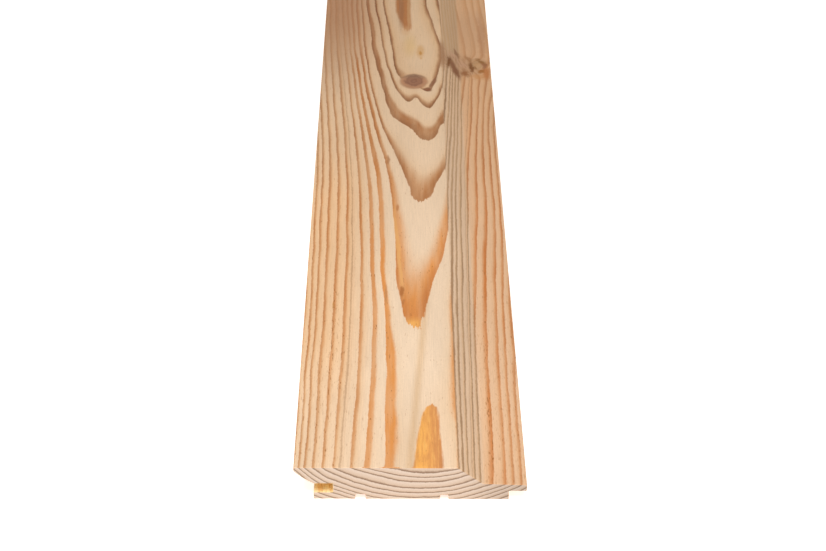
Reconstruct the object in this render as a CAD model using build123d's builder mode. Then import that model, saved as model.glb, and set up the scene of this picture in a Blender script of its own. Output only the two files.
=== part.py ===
"""Rhombus cladding board: one moulded length of solid larch.

The section is a leaning parallelogram.  The +X edge falls away from the face
in a long splay to a thin flange, and the outer end of that flange is the
tongue.  The -X edge is an overhanging nose with a rounded underside, and the
groove lies under it.  The tongue of one board enters the groove of the next,
and a shadow gap stays open between splay and nose.

Frame: +X across the width towards the tongue, +Y along the length,
+Z from the back face (z = 0) to the weather face.  The origin is the middle of
the back face.  Millimetres.
"""
import os

from build123d import *

# ---------------------------------------------------------------- dimensions
LENGTH = 1800.0            # stocked length
WIDTH = 140.0              # nose to tip of tongue
THICKNESS = 22.0           # back face to weather face

COVER_WIDTH = 117.2        # pitch of the boards once the joint is closed
FACE_WIDTH = 98.4          # flat of the weather face

# nose and groove edge (-X)
NOSE_BOTTOM = 19.2         # height where the short upright of the nose ends
LIP_SETBACK = 12.0         # lower lip stands this far back from the nose
UNDERCUT_BULGE = 0.5       # how far the rounded underside stands off its chord
GROOVE_FLOOR = 4.8
GROOVE_CEILING = 10.8
GROOVE_DEPTH = 11.5

# splay, flange and tongue edge (+X)
SPLAY_FOOT_X = 113.6       # from the nose
SPLAY_FOOT_Z = 11.1
TONGUE_TIP_TOP = 10.25     # the flange falls a little towards the tip
TONGUE_UNDERSIDE = 5.8

# relief grooves in the back: (middle from the nose, mouth, floor, depth)
RELIEF_A = (40.1, 6.5, 5.7, 3.2)
RELIEF_B = (90.4, 5.3, 4.5, 2.8)

ARRIS = 0.8                # planed arris on the edges that are handled
SMALL_ARRIS = 0.4          # inside corners and hidden edges
FOOT_RADIUS = 3.0          # cove where the splay runs out on the flange

# ------------------------------------------------------------ derived places
NOSE_X = -WIDTH / 2
TIP_X = WIDTH / 2
LIP_X = NOSE_X + LIP_SETBACK
SHOULDER_X = LIP_X + COVER_WIDTH          # upright under the tongue
FACE_EDGE_X = NOSE_X + FACE_WIDTH
FOOT_X = NOSE_X + SPLAY_FOOT_X
GROOVE_X = LIP_X + GROOVE_DEPTH

# middle of the rounded underside, pushed out square to its chord
CHORD = Vector(LIP_X - NOSE_X, GROOVE_CEILING - NOSE_BOTTOM)
CHORD_OUT = Vector(CHORD.Y, -CHORD.X).normalized()
UNDERCUT_MID = (
    (NOSE_X + LIP_X) / 2 + CHORD_OUT.X * UNDERCUT_BULGE,
    (NOSE_BOTTOM + GROOVE_CEILING) / 2 + CHORD_OUT.Y * UNDERCUT_BULGE,
)

with BuildPart() as cladding_board:
    with BuildSketch(Plane.XZ) as section:
        with BuildLine():
            # back face and shoulder, tongue, flange, splay, weather face, nose
            Polyline(
                (LIP_X, GROOVE_FLOOR),
                (LIP_X, 0),
                (SHOULDER_X, 0),
                (SHOULDER_X, TONGUE_UNDERSIDE),
                (TIP_X, TONGUE_UNDERSIDE),
                (TIP_X, TONGUE_TIP_TOP),
                (FOOT_X, SPLAY_FOOT_Z),
                (FACE_EDGE_X, THICKNESS),
                (NOSE_X, THICKNESS),
                (NOSE_X, NOSE_BOTTOM),
            )
            # rounded underside of the nose
            ThreePointArc(
                (NOSE_X, NOSE_BOTTOM), UNDERCUT_MID, (LIP_X, GROOVE_CEILING)
            )
            # groove
            Polyline(
                (LIP_X, GROOVE_CEILING),
                (GROOVE_X, GROOVE_CEILING),
                (GROOVE_X, GROOVE_FLOOR),
                (LIP_X, GROOVE_FLOOR),
            )
        make_face()

        # relief grooves, a little wider at the mouth than at the floor
        for middle, mouth, floor, depth in (RELIEF_A, RELIEF_B):
            with BuildLine(mode=Mode.PRIVATE) as relief:
                Polyline(
                    (NOSE_X + middle - mouth / 2, 0),
                    (NOSE_X + middle + mouth / 2, 0),
                    (NOSE_X + middle + floor / 2, depth),
                    (NOSE_X + middle - floor / 2, depth),
                    close=True,
                )
            make_face(relief.edges(), mode=Mode.SUBTRACT)

        # arrises: weather face, tip of the tongue, lower end of the nose
        fillet(section.vertices().group_by(Axis.Y)[-1], radius=ARRIS)
        fillet(section.vertices().group_by(Axis.X)[-1], radius=ARRIS)
        fillet(
            section.vertices().sort_by_distance((NOSE_X, NOSE_BOTTOM))[0],
            radius=ARRIS,
        )
        # cove at the foot of the splay
        fillet(
            section.vertices().sort_by_distance((FOOT_X, SPLAY_FOOT_Z))[0],
            radius=FOOT_RADIUS,
        )
        # lips of the groove, root of the groove, edges of the back face
        for corner in (
            (LIP_X, GROOVE_CEILING),
            (LIP_X, GROOVE_FLOOR),
            (GROOVE_X, GROOVE_CEILING),
            (GROOVE_X, GROOVE_FLOOR),
            (LIP_X, 0),
            (SHOULDER_X, 0),
            (SHOULDER_X, TONGUE_UNDERSIDE),
        ):
            fillet(
                section.vertices().sort_by_distance(corner)[0],
                radius=SMALL_ARRIS,
            )
    extrude(amount=LENGTH / 2, both=True)

cladding_board.part.label = "cladding_board"

os.makedirs("parts", exist_ok=True)
export_step(cladding_board.part, "parts/cladding_board.step")

box = cladding_board.part.bounding_box()
print("box", box.min, box.max)
print("section mm2", round(section.sketch.area, 1))
print("volume mm3", round(cladding_board.part.volume, 1))
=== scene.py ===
import math

import bpy
import numpy as np
from mathutils import Matrix, Vector
from mathutils.geometry import delaunay_2d_cdt


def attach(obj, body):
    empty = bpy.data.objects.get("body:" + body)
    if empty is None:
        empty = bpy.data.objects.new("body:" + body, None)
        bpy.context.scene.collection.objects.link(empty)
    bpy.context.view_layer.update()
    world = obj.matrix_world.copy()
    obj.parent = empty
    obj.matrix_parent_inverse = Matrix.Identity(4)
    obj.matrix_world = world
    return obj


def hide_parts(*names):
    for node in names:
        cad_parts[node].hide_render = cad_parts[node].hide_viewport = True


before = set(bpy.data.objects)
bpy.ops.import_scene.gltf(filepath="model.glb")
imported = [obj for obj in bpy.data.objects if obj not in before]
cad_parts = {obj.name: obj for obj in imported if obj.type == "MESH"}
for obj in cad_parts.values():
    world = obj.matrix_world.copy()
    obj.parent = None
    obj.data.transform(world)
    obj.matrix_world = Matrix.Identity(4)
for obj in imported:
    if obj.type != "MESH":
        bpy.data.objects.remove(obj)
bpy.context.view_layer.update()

# --------------------------------------------------------------------------
# Sizes of the board in millimetres.  x runs across it, y along it, z up from
# the back face.  In the grain's own coordinates X is counted from the nose
# and L from the near end.
LENGTH, WIDTH, THICK = 1800.0, 140.0, 22.0
NOSE, LIP, SHOULDER, TIP = -70.0, -58.0, 59.2, 70.0
FACE_EDGE, FOOT, GROOVE = 28.4, 43.6, -46.5


# --------------------------------------------------------------------------
# small numeric helpers
def natural_spline(knots, values):
    """A natural cubic spline through the values, straight beyond its ends."""
    t, v = np.asarray(knots, float), np.asarray(values, float)
    n, h = len(t), np.diff(knots).astype(float)
    A, r = np.eye(n), np.zeros(n)
    for i in range(1, n - 1):
        A[i, i - 1], A[i, i], A[i, i + 1] = h[i - 1], 2 * (h[i - 1] + h[i]), h[i]
        r[i] = 6 * ((v[i + 1] - v[i]) / h[i] - (v[i] - v[i - 1]) / h[i - 1])
    m = np.linalg.solve(A, r)

    def at(x):
        x = np.asarray(x, float)
        i = np.clip(np.searchsorted(t, x) - 1, 0, n - 2)
        a, b = t[i + 1] - x, x - t[i]
        y = (
            m[i] * a**3 / (6 * h[i])
            + m[i + 1] * b**3 / (6 * h[i])
            + (v[i] / h[i] - m[i] * h[i] / 6) * a
            + (v[i + 1] / h[i] - m[i + 1] * h[i] / 6) * b
        )
        low = v[0] + (x - t[0]) * ((v[1] - v[0]) / h[0] - h[0] * (2 * m[0] + m[1]) / 6)
        high = v[-1] + (x - t[-1]) * (
            (v[-1] - v[-2]) / h[-1] + h[-1] * (m[-2] + 2 * m[-1]) / 6
        )
        return np.where(x < t[0], low, np.where(x > t[-1], high, y))

    return at


def ease(lo, hi, x):
    """0 below lo, 1 above hi, smooth between them; either may be the larger."""
    t = np.clip((np.asarray(x, float) - lo) / (hi - lo), 0, 1)
    return t * t * (3 - 2 * t)


def bell(x, middle, spread):
    return np.exp(-(((x - middle) / spread) ** 2))


# --------------------------------------------------------------------------
# The growth rings.  The pith runs along the log above the weather face, and
# every ring is a tube round it.  ring(X, Z, L) counts rings outwards: at each
# whole number a year's dark latewood stops and the pale earlywood of the next
# year starts.
PITH_L = [0, 130, 260, 390, 520, 650, 775, 950, 1150, 1350, 1550, 1800]
PITH_UP = [90.1, 90.9, 89.9, 88.4, 84.6, 79.2, 79.4, 77.0, 73.0, 69.5, 64.0, 58.0]
PITH_X = [75.6, 77.4, 78.5, 79.7, 78.8, 78.7, 72.3, 68.0, 66.0, 69.0, 73.0, 74.0]
RING_RADIUS = (
    [79.19 - 3.1 * k for k in range(18, 0, -1)]
    + [79.19, 81.80, 83.86, 86.62, 89.28, 91.29, 93.95, 96.46]
    + [99.47, 104.00, 107.28, 110.71, 113.84, 116.23, 118.77]
    + [118.77 + 3.1 * k for k in range(1, 11)]
)
RING_NUMBER = list(range(-18, 25))

# Where knots and uneven growth swell the tubes: (X, Z, L, rings shifted).
# Each list has its own reach across, through and along the board.
SWELLS = {
    (26, 16, 110): [
        (39, 22, 230, 0.16), (105, 6, 230, -0.37), (-5, 22, 320, -0.39),
        (83, 22, 320, 0.29), (105, 6, 410, -0.43), (149, 6, 500, 1.18),
        # beyond the part that was studied: a plausible run of the same log
        (20, 22, 960, 0.35), (110, 10, 1010, -0.30), (60, 22, 1120, -0.30),
        (0, 14, 1240, 0.40), (95, 20, 1330, 0.35), (35, 22, 1460, -0.35),
        (128, 8, 1520, 0.30), (75, 22, 1640, 0.30), (10, 10, 1720, -0.30),
    ],
    (13, 10, 50): [
        (0, 22, 0, 0.26), (12, 8, 0, -0.55), (24, 8, 0, -0.11),
        (24, 22, 0, 0.09), (48, 22, 0, 0.21), (48, 8, 0, -0.05),
        (60, 8, 0, -0.07), (60, 22, 0, 0.19), (72, 8, 0, -0.13),
        (84, 22, 0, -0.14), (96, 22, 0, -0.26), (96, 8, 0, -0.17),
        (108, 8, 0, 0.19), (108, 22, 0, 0.28), (120, 8, 0, 0.17),
        (0, 22, 42, 0.15), (120, 8, 42, -0.18), (24, 22, 84, -0.07),
        (120, 8, 84, 0.11), (144, 8, 84, 0.08), (0, 22, 126, -0.17),
        (12, 22, 126, -0.19), (108, 22, 126, -0.12), (120, 8, 168, 0.10),
        (144, 8, 168, -0.17), (24, 22, 210, -0.11), (48, 22, 210, 0.14),
        (84, 22, 210, 0.31), (120, 8, 210, 0.20), (60, 22, 252, -0.22),
        (132, 8, 252, 0.15), (24, 22, 294, 0.10), (108, 8, 294, -0.23),
        (120, 8, 294, 0.31), (144, 8, 294, -0.16), (48, 22, 336, -0.04),
        (0, 22, 378, -0.18), (24, 22, 378, 0.11), (132, 8, 378, 0.05),
        (12, 22, 420, 0.08), (72, 22, 420, 0.14), (108, 22, 420, -0.08),
        (60, 22, 462, 0.09), (24, 22, 504, 0.22), (48, 22, 504, -0.26),
        (72, 22, 504, 0.23), (108, 22, 504, -0.80), (48, 22, 546, -0.13),
        (120, 8, 546, -0.14), (144, 8, 546, 0.55), (24, 22, 588, 0.32),
        (36, 22, 588, -0.42), (132, 8, 588, 0.43), (132, 8, 630, 0.48),
        (12, 22, 672, 0.18), (36, 22, 672, -0.42), (72, 22, 672, 0.45),
        (48, 22, 714, 0.19), (96, 22, 714, 0.37), (0, 22, 756, 0.63),
        (24, 22, 756, -0.10), (36, 22, 756, -0.27), (60, 22, 756, -0.27),
        (72, 22, 756, -0.20), (84, 22, 756, 0.59),
    ],
    (16, 3, 50): [
        (84, 22, -20, 0.69), (68, 22, 16, 0.44), (84, 22, 52, 0.61),
        (100, 22, 52, -0.19), (52, 22, 88, 0.15), (76, 22, 124, 0.30),
        (92, 22, 124, 0.11), (100, 22, 232, 0.14),
    ],
    (7, 8, 22): [
        (66, 22, 200, -0.06), (90, 22, 400, 0.11), (96, 22, 520, 0.30),
        (60, 22, 540, 0.16), (90, 22, 540, -0.12), (66, 22, 560, -0.14),
        (78, 22, 560, 0.37), (84, 22, 580, -0.31), (90, 22, 580, -0.22),
        (48, 22, 600, 0.14), (66, 22, 600, -0.08), (78, 22, 600, 0.10),
        (60, 22, 620, -0.11), (48, 22, 640, 0.20), (72, 22, 700, -0.21),
        (55, 22, 8, 0.03), (62, 22, 240, -0.08), (61, 22, 300, -0.07), (61, 22, 340, -0.06),
        (69, 22, 185, -0.05), (88, 22, 252, 0.09),
    ],
    (5, 8, 14): [
        (98, 22, 520, 0.13), (58, 22, 522, -0.09), (77, 22, 558, -0.06),
        (52, 22, 564, 0.19), (64, 22, 564, 0.15), (97, 22, 577, 0.16),
        (59, 22, 585, 0.12), (49, 22, 585, 0.10), (56, 22, 606, 0.21),
        (95, 22, 606, -0.10), (63, 22, 606, -0.11),
        (91, 22, 518, -0.17), (85, 22, 512, -0.12), (103, 22, 542, -0.12),
    ],
    (8, 8, 34): [
        (68, 22, 555, 0.04), (51, 22, 620, 0.10), (61, 22, 640, -0.06),
        (98, 22, 670, 0.04), (41, 22, 680, 0.18), (68, 22, 712, -0.06),
        (40, 22, 712, 0.13), (56, 22, 720, 0.08), (91, 22, 733, -0.17),
        (46, 22, 740, -0.13), (86, 22, 760, -0.04), (97, 22, 775, 0.11),
        (46, 22, 780, -0.10), (68, 22, 822, -0.25),
    ],
    (3.6, 6, 13): [(77, 22, 558, 0.20), (71, 22, 548, -0.05), (87, 22, 541, -0.05)],
    (4.0, 6, 9): [
        (76, 22, 504, 0.10), (96, 22, 495, 0.15), (98, 22, 520, -0.16),
        (98, 22, 550, 0.17), (96, 22, 540, 0.07), (88, 22, 530, -0.05),
        (98, 22, 505, 0.05), (94, 22, 480, 0.05), (80, 22, 181, 0.025),
        (75, 22, 176, 0.02), (84, 22, 369, 0.03), (73, 22, 375, -0.06),
        (79, 22, 361, 0.02), (59.5, 22, 10, -0.08), (59.5, 22, 25, -0.09),
        (59.5, 22, 40, -0.09),
    ],
}


# Knots: (X, L) where the branch's middle passes the weather face, its lean per
# millimetre of depth, its half width and half length there, and how many rings
# it pushes up round itself.
KNOTS = [
    dict(x=75.3, l=590.5, lean_x=0.05, lean_l=-0.3, a=11.2, b=15.4, push=0.0),
    dict(x=121.5, l=653.0, lean_x=0.52, lean_l=-0.3, a=6.5, b=14.0, push=2.0),
    dict(x=44.0, l=1196.0, lean_x=-0.25, lean_l=-0.3, a=7.5, b=10.5, push=1.2),
    dict(x=96.0, l=1477.0, lean_x=0.2, lean_l=-0.3, a=9.0, b=12.0, push=1.3),
]


def knot_reach(k, X, Z, L):
    """Distance from a knot's middle, counted in its own radii."""
    deep = THICK - Z
    across = X - k["x"] - k["lean_x"] * deep
    along = L - k["l"] - k["lean_l"] * deep
    return np.hypot(across / k["a"], along / k["b"])


def ring(X, Z, L):
    X = X + 0.7 * ease(76, 62, X) - 0.7 * ease(95, 100, X)
    up, across = natural_spline(PITH_L, PITH_UP)(L), natural_spline(PITH_L, PITH_X)(L)
    u = natural_spline(RING_RADIUS, RING_NUMBER)(np.hypot(X - across, Z - THICK - up))
    for (rx, rz, rl), swells in SWELLS.items():
        for x, z, l, much in swells:
            u = u + much * np.exp(
                -(((X - x) / rx) ** 2) - ((Z - z) / rz) ** 2 - ((L - l) / rl) ** 2
            )
    for k in KNOTS:
        u = u + k["push"] * np.exp(-knot_reach(k, X, Z, L) ** 2)
    return u


# --------------------------------------------------------------------------
# camera: 27.5 degrees down, looking along the board from its near end
cam_data = bpy.data.cameras.new("camera")
cam = bpy.data.objects.new("camera", cam_data)
bpy.context.scene.collection.objects.link(cam)
cam_data.sensor_width = 36.0
cam_data.lens = 105.21
cam_data.clip_start, cam_data.clip_end = 0.05, 60.0
pitch, yaw, roll = (math.radians(a) for a in (27.5, 0.514, 0.451))
ahead = Vector((math.sin(yaw) * math.cos(pitch), math.cos(yaw) * math.cos(pitch), -math.sin(pitch)))
level = Vector((math.cos(yaw), -math.sin(yaw), 0.0))
down = ahead.cross(level)
right = level * math.cos(roll) - down * math.sin(roll)
below = level * math.sin(roll) + down * math.cos(roll)
turn = Matrix((right, -below, -ahead)).transposed().to_4x4()
cam.matrix_world = Matrix.Translation((-0.0104, -2.1242, 0.7887)) @ turn
bpy.context.scene.camera = cam

# --------------------------------------------------------------------------
# section of the board
def rounded(corners):
    """The outline through the corners, as (x, z) points.  A corner is
    (x, z, radius, cell): its radius, and the longest cell on the way on."""
    out = []
    n = len(corners)
    for i, (x, z, r, cell) in enumerate(corners):
        p = np.array((x, z))
        before = np.array(corners[i - 1][:2]) - p
        after = np.array(corners[(i + 1) % n][:2]) - p
        a, b = before / np.linalg.norm(before), after / np.linalg.norm(after)
        if r:
            half = math.acos(np.clip(a @ b, -1, 1)) / 2
            reach = r / math.tan(half)
            centre = p + (a + b) / np.linalg.norm(a + b) * r / math.sin(half)
            start, end = p + a * reach - centre, p + b * reach - centre
            t0, t1 = math.atan2(start[1], start[0]), math.atan2(end[1], end[0])
            turned = (t1 - t0 + math.pi) % (2 * math.pi) - math.pi
            k = max(3, round((4 + 1.5 * r) * abs(turned) / (math.pi / 2)))
            for s in range(k + 1):
                t = t0 + turned * s / k
                out.append((*(centre + r * np.array((math.cos(t), math.sin(t)))), cell))
        else:
            out.append((x, z, cell))
    return out


def divided(points):
    """Splits each stretch of the outline into cells, with one thin cell beside
    every corner so that the flats stay flat under smooth shading."""
    out = []
    n = len(points)
    for i, (x, z, cell) in enumerate(points):
        p, q = np.array((x, z)), np.array(points[(i + 1) % n][:2])
        far = np.linalg.norm(q - p)
        if far < 1e-6:
            continue
        cuts = [0.0]
        if far > 1.2:
            rim = 0.3
            k = max(1, math.ceil((far - 2 * rim) / cell))
            cuts += list(rim + (far - 2 * rim) * np.arange(k + 1) / k)
        out += [p + (q - p) * c / far for c in cuts]
    return np.array(out)


def undercut():
    """Points inside the rounded underside of the nose, from nose to lip."""
    a, b = np.array((NOSE, 19.2)), np.array((LIP, 10.8))
    chord = b - a
    out = np.array((chord[1], -chord[0])) / np.linalg.norm(chord)
    return [
        (*(a + chord * t + out * 0.5 * (1 - (2 * t - 1) ** 2)), 0, 1.2)
        for t in (0.15, 0.3, 0.45, 0.6, 0.75, 0.9)
    ]


CORNERS = [
    (LIP, 4.8, 0.4, 1.4), (LIP, 0, 0.4, 3.0),
    (NOSE + 40.1 - 3.25, 0, 0, 1.4), (NOSE + 40.1 - 2.85, 3.2, 0, 2.0),
    (NOSE + 40.1 + 2.85, 3.2, 0, 1.4), (NOSE + 40.1 + 3.25, 0, 0, 3.0),
    (NOSE + 90.4 - 2.65, 0, 0, 1.4), (NOSE + 90.4 - 2.25, 2.8, 0, 2.0),
    (NOSE + 90.4 + 2.25, 2.8, 0, 1.4), (NOSE + 90.4 + 2.65, 0, 0, 3.0),
    (SHOULDER, 0, 0.4, 1.6), (SHOULDER, 5.8, 0.4, 1.8),
    (TIP, 5.8, 0.8, 1.0), (TIP, 10.25, 0.8, 1.3),
    (FOOT, 11.1, 3.0, 1.2), (FACE_EDGE, THICK, 0.8, 2.0),
    (NOSE, THICK, 0.8, 0.8), (NOSE, 19.2, 0.8, 1.2),
    *undercut(),
    (LIP, 10.8, 0.4, 1.6), (GROOVE, 10.8, 0.4, 1.4), (GROOVE, 4.8, 0.4, 1.6),
]
SECTION = divided(rounded(CORNERS))


def inset(points, by):
    """The outline moved inwards, for the eased edges of the sawn ends."""
    before, after = np.roll(points, 1, 0), np.roll(points, -1, 0)
    d1, d2 = points - before, after - points
    n1 = np.stack((-d1[:, 1], d1[:, 0]), 1) / np.linalg.norm(d1, axis=1)[:, None]
    n2 = np.stack((-d2[:, 1], d2[:, 0]), 1) / np.linalg.norm(d2, axis=1)[:, None]
    n = n1 + n2
    return points + n / np.maximum((n * n).sum(1)[:, None], 0.5) * 2 * by


def inside(points, outline):
    """Which points lie inside the outline, and how far from it they are."""
    x, z = points[:, :1], points[:, 1:]
    ax, az = outline[:, 0], outline[:, 1]
    bx, bz = np.roll(ax, -1), np.roll(az, -1)
    with np.errstate(divide="ignore", invalid="ignore"):
        crossing = ((az > z) != (bz > z)) & (x < (bx - ax) * (z - az) / (bz - az) + ax)
    dx, dz = bx - ax, bz - az
    t = np.clip(((x - ax) * dx + (z - az) * dz) / (dx * dx + dz * dz), 0, 1)
    gap = np.hypot(ax + t * dx - x, az + t * dz - z).min(1)
    return crossing.sum(1) % 2 == 1, gap


# --------------------------------------------------------------------------
# the board's mesh
def stations():
    """Distances from the near end where the section is repeated."""
    stops = [0.0, 0.25, 1.2]
    for upto, step in ((560, 5.0), (700, 2.2), (800, 5.0), (1790, 9.0)):
        first = stops[-1]
        k = math.ceil((upto - first) / step)
        stops += list(first + (upto - first) * np.arange(1, k + 1) / k)
    return np.array(stops + [LENGTH - 4, LENGTH - 1.2, LENGTH - 0.25, LENGTH])


def build_board():
    eased = inset(SECTION, 0.25)
    along = stations()
    n, rows = len(SECTION), len(along)
    verts = np.zeros((rows, n, 3))
    for r, l in enumerate(along):
        outline = eased if r in (0, rows - 1) else SECTION
        verts[r, :, 0], verts[r, :, 2] = outline[:, 0], outline[:, 1]
        verts[r, :, 1] = l - LENGTH / 2
    verts = verts.reshape(-1, 3)
    i, r = np.meshgrid(np.arange(n), np.arange(rows - 1))
    j = (i + 1) % n
    sides = np.stack((r * n + i, (r + 1) * n + i, (r + 1) * n + j, r * n + j), -1)
    faces = [tuple(int(v) for v in f) for f in sides.reshape(-1, 4)]
    slots = [0] * len(faces)

    # sawn ends: a fine net inside the outline, so that the rings can cross it
    step = 1.5
    gx, gz = np.meshgrid(np.arange(NOSE, TIP, step), np.arange(0, THICK, step))
    gx = gx + (np.arange(len(gx)) % 2)[:, None] * step / 2
    net = np.stack((gx.ravel(), gz.ravel()), 1)
    within, gap = inside(net, eased)
    net = net[within & (gap > 0.55)]
    flat = [Vector(p) for p in eased] + [Vector(p) for p in net]
    _, _, tris, origin, _, _ = delaunay_2d_cdt(flat, [], [list(range(n))], 1, 1e-7)
    name = [o[0] for o in origin]
    base = len(verts)
    near = np.column_stack((net[:, 0], np.full(len(net), -LENGTH / 2), net[:, 1]))
    far = near * (1, -1, 1)
    verts = np.concatenate((verts, near, far))
    for end in (0, 1):
        for t in tris:
            ids = []
            for k in t:
                k = name[k]
                if k < n:
                    ids.append(k + end * (rows - 1) * n)
                else:
                    ids.append(base + end * len(net) + k - n)
            a, b, c = (verts[q] for q in ids)
            normal_y = np.cross(b - a, c - a)[1]
            if (normal_y > 0) == (end == 0):
                ids.reverse()
            faces.append(tuple(int(q) for q in ids))
            slots.append(1)

    me = bpy.data.meshes.new("larch_board")
    me.from_pydata((verts / 1000).tolist(), [], faces)
    me.update()
    me.polygons.foreach_set("material_index", slots)
    me.polygons.foreach_set("use_smooth", [True] * len(faces))
    me.set_sharp_from_angle(angle=math.radians(38))
    return me, verts, along, n, len(faces)


mesh, verts, along, around, _ = build_board()
rows = len(along)
board = bpy.data.objects.new("larch_board", mesh)
bpy.context.scene.collection.objects.link(board)

X, Z, L = verts[:, 0] - NOSE, verts[:, 2], verts[:, 1] + LENGTH / 2
u = ring(X, Z, L)


def attribute(name, values):
    a = mesh.attributes.new(name, "FLOAT", "POINT")
    a.data.foreach_set("value", np.asarray(values, np.float32))


# Character of each year's latewood: how much of the ring it fills, how dark
# it is, how softly it starts (1 = all the way, 0.1 = at once), its hue (0
# grey-brown, 1 orange), how much its outer rim darkens, and over how many
# millimetres it runs out into the next year.  Read at the ring's dark edge.
YEARS = {
    -9: (0.22, 0.75, 0.8, 0.35, 0.3, 0.7), -8: (0.30, 0.70, 0.7, 0.45, 0.3, 0.7),
    -7: (0.18, 0.80, 0.6, 0.3, 0.3, 0.7), -6: (0.25, 0.70, 0.9, 0.5, 0.3, 0.7),
    -5: (0.20, 0.80, 0.6, 0.4, 0.3, 0.7), -4: (0.28, 0.72, 0.8, 0.3, 0.3, 0.7),
    -3: (0.18, 0.85, 0.6, 0.4, 0.3, 0.7), -2: (0.24, 0.75, 0.8, 0.45, 0.3, 0.7),
    -1: (0.20, 0.80, 0.7, 0.4, 0.3, 0.7), 0: (0.60, 1.00, 0.15, 0.8, 0.0, 2.4),
    1: (0.24, 0.92, 0.8, 0.15, 0.65, 0.9), 2: (0.29, 0.90, 0.8, 0.15, 0.55, 1.0),
    3: (0.42, 0.88, 0.52, 0.4, 0.5, 0.8), 4: (0.42, 0.90, 0.8, 0.5, 0.5, 0.8),
    5: (0.60, 0.88, 0.65, 1.0, 0.6, 0.7), 6: (0.44, 0.92, 0.35, 1.0, 0.12, 0.7),
    7: (0.46, 0.88, 0.45, 0.85, 0.2, 0.6), 8: (0.30, 0.88, 0.7, 0.6, 0.2, 0.6),
    9: (0.25, 0.85, 0.7, 0.5, 0.2, 0.6), 10: (0.38, 0.82, 0.8, 0.5, 0.2, 0.6),
    11: (0.38, 0.84, 0.8, 0.45, 0.2, 0.6), 12: (0.42, 0.84, 0.8, 0.4, 0.2, 0.6),
    13: (0.42, 0.84, 0.8, 0.4, 0.2, 0.6), 14: (0.42, 0.82, 0.8, 0.4, 0.2, 0.6),
    15: (0.32, 0.88, 0.6, 0.4, 0.2, 0.6), 16: (0.38, 0.88, 0.7, 0.35, 0.2, 0.6),
    24: (0.34, 0.88, 0.6, 0.4, 0.2, 0.6),
}
# Where a year is unlike itself elsewhere: year, what, middle along, reach
# along, middle across, reach across, times
LOCAL = [
    (1, "late", 606, 12, 64, 5, 2.2), (1, "late", 600, 34, 94, 6, 1.6),
    (2, "late", 600, 70, 58, 12, 1.4), (2, "late", 552, 16, 76, 10, 1.2),
    (3, "late", 515, 18, 74, 8, 1.2), (3, "late", 525, 45, 97, 9, 0.85),
    (3, "warm", 600, 60, 50, 12, 0.5), (4, "late", 560, 150, 48, 14, 0.9),
    (5, "late", 430, 90, 54, 9, 0.68), (5, "late", 320, 60, 97, 6, 0.8),
    (6, "late", 60, 80, 98, 6, 0.6), (6, "late", 250, 70, 52, 8, 0.8),
    (6, "late", 8, 30, 58, 10, 0.85), (3, "deep", 570, 55, 99.5, 4, 1.7),
    (6, "soft", 260, 110, 52, 12, 1.6), (11, "late", 250, 220, 125, 5, 1.35),
    (11, "deep", 250, 260, 125, 5, 1.15), (1, "deep", 700, 30, 93, 7, 0.75),
    (1, "deep", 606, 24, 94, 6, 0.85),
]
years = sorted(YEARS)
character = {}
for k, name in enumerate(("late", "deep", "soft", "warm", "rim", "blur")):
    steps_u, steps_v = [], []
    for y in years:
        steps_u += [y - 0.65, y + 0.15]
        steps_v += [YEARS[y][k]] * 2
    character[name] = np.interp(u, steps_u, steps_v)
for y, what, l, rl, x, rx, times in LOCAL:
    near = bell(L, l, rl) * bell(X, x, rx) * ease(0.75, 0.45, np.abs(u - y + 0.2))
    character[what] = character[what] * (1 + (times - 1) * near)

# How many rings go to a millimetre of the surface: the small waviness of the
# grain is laid on in millimetres, whatever the spacing of the rings.
side = rows * around
ring_net = u[:side].reshape(rows, around)
step_round = np.linalg.norm(np.roll(SECTION, -1, 0) - SECTION, axis=1)
rise_round = (np.roll(ring_net, -1, 1) - np.roll(ring_net, 1, 1)) / (step_round + np.roll(step_round, 1))
rise_along = np.gradient(ring_net, along, axis=0)
slope = np.full(len(u), 0.3)
slope[:side] = np.clip(np.hypot(rise_round, rise_along), 0.01, 0.6).ravel()
# fibres fray the tips of the figure, where the rings run flat
frayed = bell(X, 74.5, 9) * bell(L, 182, 22) + bell(X, 79, 8) * bell(L, 372, 20)
frayed = frayed + 0.5 * bell(X, 80, 9) * bell(L, 482, 16) + 0.6 * bell(X, 69, 5) * bell(L, 712, 20)
frayed = np.maximum(slope, 0.036 + 0.24 * frayed * (Z > 15))

# place on the weather side: along the face, then down the splay and out
# along the flange
S = np.where(
    Z > 9.0,
    np.where(X <= 98.4, X, np.where(X < 113.6, 98.4 + (22 - Z) / 10.9 * 18.7, X + 3.5)),
    -500.0,
)
top = Z > 15.0                      # the weather face and the upper splay
splay = ease(97.6, 99.6, S) * ease(119, 116, S)
flange = ease(116, 119, S)

# the wood yellows away from the near end, and turns brown on the left
honey = np.interp(
    L, (0, 60, 120, 350, 520, 700, 1000, 1300, 1800), (0.3, 0.18, 0.04, 0.33, 0.7, 1, 0.85, 0.5, 0.25)
)
umber = ease(500, 760, L) * ease(66, 14, X) * ease(1250, 850, L) * (Z > 15)
amber = ease(60, 18, X) * np.interp(L, (0, 60, 150, 370, 460, 600), (0.3, 0.45, 1, 1, 0.5, 0)) * (Z > 15)
# strength of the lines along the board, outside the figure and down the splay
left_side = ease(6.3, 6.8, u) * (1 - splay)
along_left = np.interp(L, (0, 150, 280, 450, 520, 600, 775), (0.80, 0.91, 0.94, 0.91, 0.82, 0.65, 0.42))
along_splay = np.interp(L, (0, 280, 450, 1800), (0.84, 0.74, 0.50, 0.52))
character["deep"] = character["deep"] * (1 - left_side * (1 - along_left))
character["deep"] = character["deep"] * (1 - splay * (1 - along_splay))
# the brown left side has fainter lines
faint_left = ease(40, 28, X) * ease(610, 670, L) * ease(1150, 900, L) * (Z > 15)
character["deep"] = character["deep"] * (1 - 0.6 * faint_left)
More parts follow.
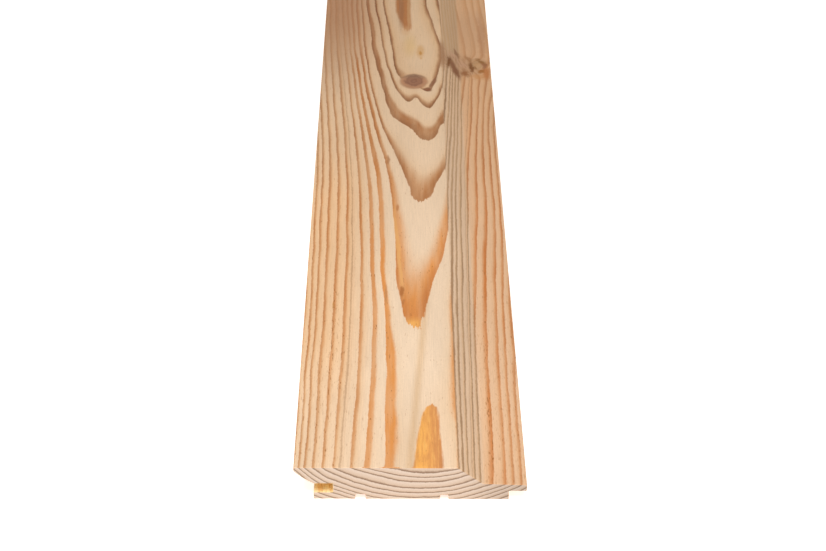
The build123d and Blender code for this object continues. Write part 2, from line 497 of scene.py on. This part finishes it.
# beside the edge knot the splay has hardly any lines
smooth = ease(98.8, 101, S) * ease(119, 116, S) * ease(655, 675, L) * ease(900, 810, L)
character["deep"] = character["deep"] * (1 - 0.97 * smooth)
# the flange's lines grow soft beyond the knot
far_flange = flange * ease(640, 690, L) * ease(900, 810, L)
character["deep"] = character["deep"] * (1 - 0.45 * far_flange)
character["late"] = character["late"] * (1 + 0.5 * far_flange)
character["warm"] = character["warm"] * (1 - 0.5 * ease(300, 470, L)) * (1 - 0.85 * splay)
character["warm"] = character["warm"] + 0.3 * flange * ease(16, 12, u) * ease(640, 420, L)

# painted shade on the sloping splay: a greyer, darker tint, strongest near the near end and weaker from 500 mm on
splay_painted_shade = splay * np.interp(L, (0, 100, 250, 500), (0.75, 0.9, 0.75, 0.5))

# where the resin canals show as dark and golden specks
resin = 0.9 * bell(u, 9.75, 0.35) * bell(L, 150, 90) + 0.6 * bell(u, 10.8, 0.3) * bell(L, 110, 70)
resin = resin + 0.8 * bell(u, 9.8, 0.3) * (bell(L, 165, 50) + bell(L, 297, 28)) * ease(60, 30, X)
resin = resin + 0.5 * bell(u, 8.8, 0.3) * bell(L, 120, 40) + 0.35 * ease(60, 20, X) * ease(300, 100, L)
resin = resin + 0.6 * flange * ease(400, 50, L)
gold = bell(u, 4.96, 0.12) * ease(190, 180, L) * ease(66, 69, X)

# painted light inside the groove: its colour is mixed towards a bright honey gold, standing in for light on the
# groove's floor
groove_painted_light = ease(11.6, 12.6, X) * ease(25, 24, X) * ease(4, 4.6, Z) * ease(11.6, 11.0, Z)

# the orange tip of the next year, cut by the near end (signed millimetres)
left = np.interp(L, (0, 20, 40, 60, 72, 78), (71, 73, 75, 77, 80, 84))
right = np.interp(L, (0, 30, 60, 72, 78), (90, 89, 88, 86.5, 84))
patch = np.where(top, np.minimum(X - left, right - X) - 3 * ease(70, 84, L), -20)
patch = np.clip(np.where(L > 84, -20, patch), -20, 20)
# a grey streak that crosses from the near end
middle = np.interp(L, (0, 80, 160, 250), (69.5, 74.0, 78.5, 82.5))
streak = bell(X, middle, 2.3) * ease(270, 200, L) * top

# painted light: the lines inside the groove are softened too
character["deep"] = character["deep"] * (1 - 0.5 * groove_painted_light)

attribute("ring", u)
for name, values in character.items():
    attribute(name, values)
for name, values in dict(
    slope=slope, frayed=frayed, honey=honey, umber=umber, amber=amber, groove_painted_light=groove_painted_light, splay=splay, splay_painted_shade=splay_painted_shade, flange=flange, smooth=smooth,
    patch=patch, streak=streak, resin=np.clip(resin, 0, 1), gold=gold, S=S, L=L,
).items():
    attribute(name, values)

# --------------------------------------------------------------------------
# UV map for baking: the length runs along U, the section round V, ends apart
def unwrap():
    gap_after = np.linalg.norm(np.roll(SECTION, -1, 0) - SECTION, axis=1)
    # the weather side gets more room than the back
    shown = (SECTION[:, 1] > 9.0) & (np.roll(SECTION, -1, 0)[:, 1] > 9.0) & (SECTION[:, 0] > LIP - 12.1)
    room = gap_after * np.where(shown, 1.0, 0.5)
    room = room / room.sum() * 0.885
    v_at = np.concatenate(((0,), np.cumsum(room))) + 0.004
    uv = mesh.uv_layers.new(name="OFBake")
    loops = len(mesh.loops)
    where = np.zeros(loops, np.int64)
    mesh.loops.foreach_get("vertex_index", where)
    out = np.zeros((loops, 2))
    side_faces = (len(along) - 1) * around
    i, r = np.meshgrid(np.arange(around), np.arange(len(along) - 1))
    i, r = i.ravel(), r.ravel()
    u_at = 0.002 + 0.996 * along / LENGTH
    out[: side_faces * 4, 0] = np.stack((u_at[r], u_at[r + 1], u_at[r + 1], u_at[r]), 1).ravel()
    out[: side_faces * 4, 1] = np.stack((v_at[i], v_at[i], v_at[i + 1], v_at[i + 1]), 1).ravel()
    cap = np.arange(side_faces * 4, loops)
    p = verts[where[cap]]
    far = p[:, 1] > 0
    out[cap, 0] = np.where(far, 0.51, 0.005) + (p[:, 0] - NOSE) / WIDTH * 0.485
    out[cap, 1] = 0.905 + p[:, 2] / THICK * 0.088
    uv.data.foreach_set("uv", out.astype(np.float32).ravel())
    uv.active_render = True


unwrap()


# --------------------------------------------------------------------------
# materials
def srgb(r, g, b):
    """A colour given as it looks on a screen, 0 to 255."""
    def one(c):
        c /= 255
        return c / 12.92 if c <= 0.04045 else ((c + 0.055) / 1.055) ** 2.4
    return (one(r), one(g), one(b), 1.0)


class Tree:
    """Short names for the few shader nodes used here."""

    def __init__(self, name):
        self.material = bpy.data.materials.new(name)
        self.material.use_nodes = True
        self.t = self.material.node_tree
        self.t.nodes.clear()
        self.out = self.t.nodes.new("ShaderNodeOutputMaterial")
        self.bsdf = self.t.nodes.new("ShaderNodeBsdfPrincipled")
        self.t.links.new(self.bsdf.outputs[0], self.out.inputs[0])

    def put(self, socket, value):
        if isinstance(value, bpy.types.NodeSocket):
            self.t.links.new(value, socket)
        else:
            socket.default_value = value

    def math(self, op, *args, clamp=False):
        n = self.t.nodes.new("ShaderNodeMath")
        n.operation, n.use_clamp = op, clamp
        for s, v in zip(n.inputs, args):
            self.put(s, v)
        return n.outputs[0]

    def add(self, a, b): return self.math("ADD", a, b)
    def sub(self, a, b): return self.math("SUBTRACT", a, b)
    def mul(self, a, b): return self.math("MULTIPLY", a, b)
    def madd(self, a, b, c): return self.math("MULTIPLY_ADD", a, b, c)

    def place(self):
        """Object position in millimetres."""
        n = self.t.nodes.new("ShaderNodeTexCoord")
        return self.scale(n.outputs["Object"], (1000, 1000, 1000))

    def scale(self, v, by):
        n = self.t.nodes.new("ShaderNodeVectorMath")
        n.operation = "MULTIPLY"
        self.put(n.inputs[0], v)
        n.inputs[1].default_value = by
        return n.outputs[0]

    def parts(self, v):
        n = self.t.nodes.new("ShaderNodeSeparateXYZ")
        self.put(n.inputs[0], v)
        return n.outputs

    def attr(self, name):
        n = self.t.nodes.new("ShaderNodeAttribute")
        n.attribute_name = name
        return n.outputs["Fac"]

    def chance(self, value):
        """A number from 0 to 1 that is the same wherever value is the same."""
        n = self.t.nodes.new("ShaderNodeTexWhiteNoise")
        n.noise_dimensions = "1D"
        self.put(n.inputs["W"], value)
        return n.outputs["Value"]

    def turned(self, v, angle):
        """The position turned about z."""
        n = self.t.nodes.new("ShaderNodeVectorRotate")
        n.rotation_type = "Z_AXIS"
        self.put(n.inputs["Vector"], v)
        n.inputs["Angle"].default_value = angle
        return n.outputs[0]

    def noise(self, v, size, detail=2.0, rough=0.5, bend=0.0):
        """Noise whose cells are size millimetres across, along and up."""
        n = self.t.nodes.new("ShaderNodeTexNoise")
        n.inputs["Scale"].default_value = 1.0
        n.inputs["Detail"].default_value = detail
        n.inputs["Roughness"].default_value = rough
        n.inputs["Distortion"].default_value = bend
        self.put(n.inputs["Vector"], self.scale(v, tuple(1 / s for s in size)))
        return n.outputs["Fac"]

    def ramp(self, x, lo, hi, to_lo=0.0, to_hi=1.0, kind="SMOOTHSTEP"):
        n = self.t.nodes.new("ShaderNodeMapRange")
        n.interpolation_type = kind
        for s, v in zip(n.inputs[:5], (x, lo, hi, to_lo, to_hi)):
            self.put(s, v)
        return n.outputs[0]

    def blend(self, much, a, b, kind="MIX"):
        n = self.t.nodes.new("ShaderNodeMix")
        n.data_type, n.blend_type = "RGBA", kind
        self.put(n.inputs[0], much)
        self.put(n.inputs[6], a)
        self.put(n.inputs[7], b)
        return n.outputs[2]

    def shade(self, colour, value):
        """The colour times a number."""
        n = self.t.nodes.new("ShaderNodeVectorMath")
        n.operation = "SCALE"
        self.put(n.inputs[0], colour)
        self.put(n.inputs["Scale"], value)
        return n.outputs[0]

    def oval(self, x, y, cx, cy, rx, ry, turn=0.0):
        """Distance from the middle of an oval, counted in its own radii."""
        c, d = math.cos(turn), math.sin(turn)
        a = self.madd(x, c / rx, self.madd(y, d / rx, -(cx * c + cy * d) / rx))
        b = self.madd(x, -d / ry, self.madd(y, c / ry, (cx * d - cy * c) / ry))
        return self.math("SQRT", self.madd(a, a, self.mul(b, b)))

    def blot(self, colour, x, y, cx, cy, rx, ry, turn, soft, much, hue):
        r = self.oval(x, y, cx, cy, rx, ry, turn)
        return self.blend(self.ramp(r, 1 + 0.4 * soft, 1 - 0.6 * soft, 0.0, much), colour, srgb(*hue))

    def bump(self, height, strength, distance):
        n = self.t.nodes.new("ShaderNodeBump")
        n.inputs["Strength"].default_value = strength
        n.inputs["Distance"].default_value = distance
        self.put(n.inputs["Height"], height)
        return n.outputs[0]


def rings_of(t, p, jag=1.0):
    """The ring count with the small waviness of real growth added, which is
    given in millimetres across the grain."""
    wave = t.noise(p, (9, 70, 9), 1.0)
    ripple = t.noise(p, (6, 20, 6), 1.0)
    fibre = t.noise(p, (1.3, 24, 1.3), 2.0, 0.6)
    shift = t.mul(t.sub(wave, 0.5), 1.5 * jag)
    tooth = t.noise(p, (0.7, 3.2, 0.7), 1.0)
    shift = t.madd(t.sub(ripple, 0.5), 1.0 * jag, shift)
    shift = t.madd(t.sub(tooth, 0.5), 0.9 * jag, shift)
    u = t.madd(shift, t.math("MAXIMUM", t.attr("slope"), 0.036), t.attr("ring"))
    return t.madd(t.mul(t.sub(fibre, 0.5), 0.7 * jag), t.attr("frayed"), u)


def knot_radius(t, parts, k, wobble):
    """Distance from the knot's middle in its own radii, a little uneven."""
    x, y, z = parts
    deep = t.sub(THICK, z)
    across = t.madd(deep, -k["lean_x"], t.sub(x, k["x"] + NOSE))
    along = t.madd(deep, -k["lean_l"], t.sub(y, k["l"] - LENGTH / 2))
    across, along = t.mul(across, 1 / k["a"]), t.mul(along, 1 / k["b"])
    r2 = t.madd(across, across, t.mul(along, along))
    return t.add(t.math("SQRT", r2), t.mul(t.sub(wobble, 0.5), 0.22)), along


# Small marks on the weather side: place (S, L), half sizes, turn in radians,
# how sharp the edge is (0 sharp, 1 soft), strength and colour
FLECKS = [
    (62.6, 290, 1.5, 72, 0.045, 1.0, 0.5, (246, 188, 112)),
    (65.0, 225, 1.5, 8, 0.0, 0.8, 0.85, (175, 104, 44)),
    (66.2, 210, 1.0, 5, 0.0, 0.8, 0.6, (180, 112, 56)),
    (54.4, 220, 0.9, 15, 0.0, 0.9, 0.7, (191, 130, 76)),
    (62.0, 355, 1.3, 6, 0.0, 0.9, 0.75, (186, 116, 56)),
    (55.0, 438, 1.2, 8, 0.0, 0.9, 0.75, (172, 112, 60)),
    (19.0, 205, 0.8, 5, 0.0, 0.8, 0.7, (196, 130, 56)),
    (86.5, 574, 3.4, 4.4, 0.0, 0.7, 0.95, (139, 87, 54)),
    (90.9, 588, 1.9, 12, -0.257, 0.7, 0.9, (144, 94, 60)),
    (81.2, 655, 3.6, 14, 0.0, 0.9, 0.7, (212, 162, 102)),
    (71.8, 748, 1.4, 42, 0.0, 0.9, 0.6, (204, 158, 108)),
    (65.2, 748, 2.6, 46, 0.0, 1.0, 0.45, (146, 98, 62)),
    (69.2, 701, 3.6, 11, 0.0, 1.0, 0.5, (212, 164, 116)),
    (81.3, 651, 1.3, 5.2, 0.0, 0.7, 0.9, (196, 138, 66)),
    (82.0, 640, 0.9, 3.2, 0.0, 0.9, 0.5, (205, 150, 84)),
]
# the edge knot, from its surround inwards
BLOTS = [
    (128.0, 724, 16.0, 56, 0.0, 1.0, 0.35, (193, 151, 115)),
    (137.8, 716, 3.4, 60, 0.0, 1.0, 0.5, (181, 125, 83)),
    (118.0, 650, 19.0, 24, 0.0, 1.0, 0.75, (191, 146, 107)),
    (99.9, 650, 3.5, 30, 0.0, 1.0, 0.9, (170, 122, 81)),
    (112.0, 664, 5.0, 6, 0.3, 1.0, 0.7, (198, 152, 117)),
    (120.0, 653, 3.6, 8, 0.35, 1.0, 0.8, (198, 152, 117)),
    (115.0, 674, 2.7, 8, 0.25, 1.0, 0.85, (150, 103, 66)),
    (133.0, 628, 6.5, 7, 0.0, 1.0, 0.7, (202, 142, 86)),
    (111.8, 637, 4.5, 18, 0.25, 1.0, 1.0, (138, 86, 46)),
    (106.0, 643, 2.0, 14, -0.14, 1.0, 1.0, (125, 74, 13)),
    (121.8, 634, 3.6, 7, 0.2, 1.0, 0.9, (153, 96, 48)),
    (139.7, 637, 3.3, 15, 0.0, 1.0, 0.9, (191, 120, 63)),
    (132.0, 653, 5.0, 11, 0.0, 1.0, 0.6, (195, 149, 99)),
    (125.2, 665, 2.2, 8, 0.35, 1.0, 0.75, (170, 118, 72)),
    (135.6, 660, 2.6, 7, 0.5, 1.0, 0.9, (146, 94, 34)),
    (138.3, 652, 1.8, 7, 0.0, 1.0, 0.8, (156, 99, 60)),
    (127.3, 647, 1.9, 12, 0.05, 1.0, 1.0, (129, 76, 20)),
    (135.6, 640, 2.6, 5, -0.4, 1.0, 0.9, (165, 101, 34)),
    (130.3, 647, 1.0, 4, 0.0, 1.0, 0.8, (149, 98, 46)),
]


def larch_planed():
    t = Tree("larch_planed")
    p = t.place()
    parts = t.parts(p)
    u = rings_of(t, p)
    part = t.math("FRACT", u)
    late, deep, soft, warm = (t.attr(a) for a in ("late", "deep", "soft", "warm"))
    through = t.math("DIVIDE", t.sub(part, t.sub(1.0, late)), late)
    past = t.math("DIVIDE", part, t.mul(t.attr("slope"), t.attr("blur")))
    after = t.ramp(past, 1.0, 0.0)
    dark = t.math("MAXIMUM", t.ramp(through, 0.0, soft), after)
    rim = t.math("MAXIMUM", t.ramp(through, 0.6, 1.0), after)
    patchy = t.noise(p, (5, 60, 5), 2.0)
    dark = t.mul(dark, t.mul(deep, t.ramp(patchy, 0.3, 0.7, 0.78, 1.15)))

    # earlywood, latewood and the thin dark line that ends the year
    early = t.blend(t.ramp(part, 0.3, 0.95), srgb(245, 216, 184), srgb(239, 202, 161))
    hue = t.blend(warm, srgb(176, 124, 82), srgb(230, 152, 78))
    # painted shade: on the splay the latewood turns a greyer brown
    hue = t.blend(t.attr("splay"), hue, srgb(164, 128, 90))
    colour = t.blend(dark, early, hue)
    edge = t.blend(warm, srgb(126, 88, 54), srgb(198, 114, 50))
    colour = t.blend(t.mul(t.mul(rim, t.attr("rim")), dark), colour, edge)
    colour = t.blend(t.mul(t.attr("gold"), dark), colour, srgb(246, 178, 92))
    # false rings: one strong, and faint ones in some of the other years
    false = t.ramp(t.math("ABSOLUTE", t.sub(u, 8.58)), 0.075, 0.01)
    colour = t.blend(t.mul(false, t.mul(deep, 0.62)), colour, srgb(166, 124, 88))
    year = t.math("FLOOR", u)
    faint = t.sub(part, t.madd(t.chance(year), 0.3, 0.25))
    faint = t.ramp(t.math("ABSOLUTE", faint), 0.06, 0.0)
    faint = t.mul(faint, t.mul(t.ramp(t.chance(t.add(year, 0.37)), 0.3, 0.9), t.ramp(u, 5.5, 7.0)))
    colour = t.blend(t.mul(t.mul(faint, deep), 0.22), colour, hue)

    # slow tints: honey away from the near end, brown on the left, painted shade that makes the sloping splay greyer
    # and darker, and the warmer flange
    for name, tint in (
        ("honey", (235, 224, 209)), ("umber", (214, 190, 176)), ("amber", (255, 240, 221)),
        ("splay_painted_shade", (236, 227, 219)), ("flange", (244, 227, 212)), ("smooth", (234, 232, 226)),
        ("streak", (239, 229, 213)),
    ):
        colour = t.blend(t.attr(name), colour, srgb(*tint), "MULTIPLY")
    # painted light in the groove: mixed towards a bright honey gold, with orange mottling laid over it
    colour = t.blend(t.mul(t.attr("groove_painted_light"), 0.9), colour, srgb(255, 232, 176))
    groove_mottle = t.mul(t.ramp(t.noise(p, (1.5, 9, 1.5), 2.0, 0.6), 0.43, 0.58), t.ramp(parts[0], 13 + NOSE, 15 + NOSE))
    colour = t.blend(t.mul(t.mul(t.attr("groove_painted_light"), 0.65), groove_mottle), colour, srgb(232, 178, 100))

    # the orange tip at the near end
    jag = t.noise(p, (1.4, 16, 1.4), 3.0, 0.6)
    tip = t.ramp(t.madd(t.sub(jag, 0.5), 3.4, t.attr("patch")), -0.7, 1.1)
    x = parts[0]
    tip_hue = t.blend(t.ramp(x, 76 + NOSE, 88 + NOSE), srgb(250, 176, 80), srgb(212, 138, 72))
    tip_hue = t.blend(t.ramp(jag, 0.45, 0.72, 0.0, 0.6), tip_hue, srgb(208, 134, 66))
    tip_hue = t.blend(t.ramp(jag, 0.5, 0.3, 0.0, 0.4), tip_hue, srgb(255, 196, 104))
    foot = t.mul(t.ramp(parts[1], -LENGTH / 2 + 24, -LENGTH / 2 + 4), t.ramp(t.attr("patch"), 3.5, 0.5))
    tip_hue = t.blend(t.mul(foot, 0.7), tip_hue, srgb(196, 124, 66))
    colour = t.blend(t.mul(tip, 0.95), colour, tip_hue)

    # fibres, fine pores and slow changes of tone
    fine = t.noise(p, (0.45, 26, 0.45), 2.0, 0.6)
    colour = t.shade(colour, t.ramp(fine, 0.25, 0.75, 0.93, 1.05))
    slow = t.noise(p, (22, 160, 22), 1.0)
    colour = t.shade(colour, t.ramp(slow, 0.3, 0.7, 0.965, 1.03))
    speck = t.noise(p, (0.8, 1.6, 0.8), 2.0, 0.7)
    colour = t.shade(colour, t.ramp(speck, 0.25, 0.75, 0.965, 1.03))
    dash = t.noise(p, (0.7, 6, 0.7), 1.0)
    many = t.madd(t.attr("resin"), -0.11, 0.70)
    dash = t.mul(t.ramp(t.sub(dash, many), 0.0, 0.06), t.ramp(dark, 0.0, 0.5, 0.3, 0.85))
    colour = t.blend(dash, colour, srgb(164, 102, 42))

    # the knots that go right through
    wobble = t.noise(p, (4, 6, 4), 2.0)
    height = t.madd(dark, 0.5, t.mul(fine, 0.5))
    for k in (KNOTS[0], KNOTS[2], KNOTS[3]):
        r, along = knot_radius(t, parts, k, wobble)
        # its own rings crowd towards the end that points up the tree
        off = t.madd(t.mul(along, t.sub(1.0, r)), -0.3, r)
        turns = t.math("FRACT", t.madd(wobble, 0.7, t.mul(off, 2.4)))
        line = t.mul(t.ramp(turns, 0.3, 0.8), t.ramp(turns, 1.0, 0.85))
        own = t.blend(t.ramp(r, 0.4, 1.0), srgb(156, 106, 76), srgb(196, 142, 102))
        own = t.blend(t.ramp(along, 0.2, 0.8, 0.0, 0.8), own, srgb(144, 110, 82))
        own = t.blend(t.mul(line, 0.38), own, srgb(120, 76, 52))
        colour = t.blend(t.mul(t.ramp(r, 1.45, 0.95), 0.35), colour, srgb(214, 166, 120))
        colour = t.blend(t.ramp(r, 1.14, 0.84), colour, own)

    # small marks, and the edge knot, drawn in the plane of the weather side
    bend = t.noise(p, (5, 9, 5), 2.0, 0.6)
    bend2 = t.noise(t.turned(p, 1.3), (5, 6, 5), 2.0, 0.6)
    sx = t.madd(t.sub(bend, 0.5), 2.4, t.attr("S"))
    sl = t.madd(t.sub(bend2, 0.5), 5.0, t.attr("L"))
    for mark in FLECKS:
        colour = t.blot(colour, sx, sl, *mark)
    colour = t.blend(t.mul(t.ramp(t.oval(sx, sl, 72.5, 668, 9, 38), 1.0, 0.1), 0.9), colour, srgb(251, 246, 222), "MULTIPLY")
    swirl = t.noise(t.turned(p, -0.25), (1.5, 14, 1.5), 2.0, 0.6)
    sx = t.madd(t.sub(bend, 0.5), 5.0, t.attr("S"))
    sl = t.madd(t.sub(bend2, 0.5), 10.0, t.attr("L"))
    for mark in BLOTS:
        colour = t.blot(colour, sx, sl, *mark)
    around_knot = t.ramp(t.oval(sx, sl, 116, 646, 18, 26), 1.1, 0.5)
    colour = t.blend(t.mul(t.ramp(swirl, 0.45, 0.7), t.mul(around_knot, 0.5)), colour, srgb(146, 98, 57))
    eye = t.oval(sx, sl, 132.3, 652, 7.0, 14.5)
    upper = t.ramp(sl, 644, 658, 0.25, 0.62)
    arc = t.mul(t.ramp(t.math("ABSOLUTE", t.sub(eye, 1.0)), 0.3, 0.0), upper)
    colour = t.blend(t.mul(arc, t.ramp(swirl, 0.3, 0.6, 0.6, 0.3)), colour, srgb(139, 94, 38))
    arc = t.ramp(t.math("ABSOLUTE", t.sub(eye, 0.5)), 0.24, 0.0)
    colour = t.blend(t.mul(arc, 0.25), colour, srgb(146, 108, 70))

    t.put(t.bsdf.inputs["Base Color"], colour)
    t.put(t.bsdf.inputs["Roughness"], t.ramp(fine, 0.2, 0.8, 0.52, 0.64, "LINEAR"))
    t.bsdf.inputs["Specular IOR Level"].default_value = 0.3
    t.put(t.bsdf.inputs["Normal"], t.bump(height, 0.35, 0.00012))
    return t.material


def larch_sawn():
    t = Tree("larch_end_grain")
    p = t.place()
    u = rings_of(t, p, 0.5)
    part = t.math("FRACT", u)
    dark = t.math("MAXIMUM", t.ramp(part, 0.68, 0.96), t.ramp(part, 0.1, 0.0))
    early = t.blend(t.ramp(part, 0.1, 0.8), srgb(218, 195, 176), srgb(208, 180, 155))
    colour = t.blend(t.mul(dark, 0.85), early, srgb(130, 100, 76))
    # painted shade: the end grain darkens towards the tongue's end, as if lit from the left
    colour = t.shade(colour, t.ramp(t.parts(p)[0], 96 + NOSE, 138 + NOSE, 1.0, 0.80))
    speck = t.noise(p, (0.5, 0.5, 0.5), 3.0, 0.7)
    colour = t.shade(colour, t.ramp(speck, 0.25, 0.75, 0.93, 1.06))
    t.put(t.bsdf.inputs["Base Color"], colour)
    t.put(t.bsdf.inputs["Roughness"], t.ramp(speck, 0.2, 0.8, 0.68, 0.8, "LINEAR"))
    t.bsdf.inputs["Specular IOR Level"].default_value = 0.2
    t.put(t.bsdf.inputs["Normal"], t.bump(speck, 0.4, 0.0002))
    return t.material


mesh.materials.append(larch_planed())
mesh.materials.append(larch_sawn())
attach(board, "root")
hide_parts("cladding_board")

# --------------------------------------------------------------------------
# pale floor and soft studio light
floor_mesh = bpy.data.meshes.new("floor")
s = 8.0
floor_mesh.from_pydata([(-s, -s, -0.0002), (s, -s, -0.0002), (s, s, -0.0002), (-s, s, -0.0002)], [], [(0, 1, 2, 3)])
floor = bpy.data.objects.new("floor", floor_mesh)
bpy.context.scene.collection.objects.link(floor)
ft = Tree("floor_paper")
ft.bsdf.inputs["Base Color"].default_value = (0.86, 0.86, 0.86, 1)
ft.bsdf.inputs["Roughness"].default_value = 0.9
ft.bsdf.inputs["Specular IOR Level"].default_value = 0.0
ft.bsdf.inputs["Emission Color"].default_value = (1, 1, 1, 1)
ft.bsdf.inputs["Emission Strength"].default_value = 0.6
floor_mesh.materials.append(ft.material)


def softbox(name, at, to, width, height, power):
    data = bpy.data.lights.new(name, "AREA")
    data.shape, data.size, data.size_y, data.energy = "RECTANGLE", width, height, power
    o = bpy.data.objects.new(name, data)
    bpy.context.scene.collection.objects.link(o)
    o.location = at
    o.rotation_euler = (Vector(to) - Vector(at)).to_track_quat("-Z", "Y").to_euler()
    return o


softbox("key", (-0.12, -1.60, 1.75), (0.0, -0.8, 0.0), 1.2, 1.2, 25.7)

world = bpy.data.worlds.new("studio")
bpy.context.scene.world = world
world.use_nodes = True
world.node_tree.nodes["Background"].inputs[0].default_value = (1.0, 1.0, 1.0, 1.0)
world.node_tree.nodes["Background"].inputs[1].default_value = 0.475
bpy.context.scene.view_settings.view_transform = "Standard"
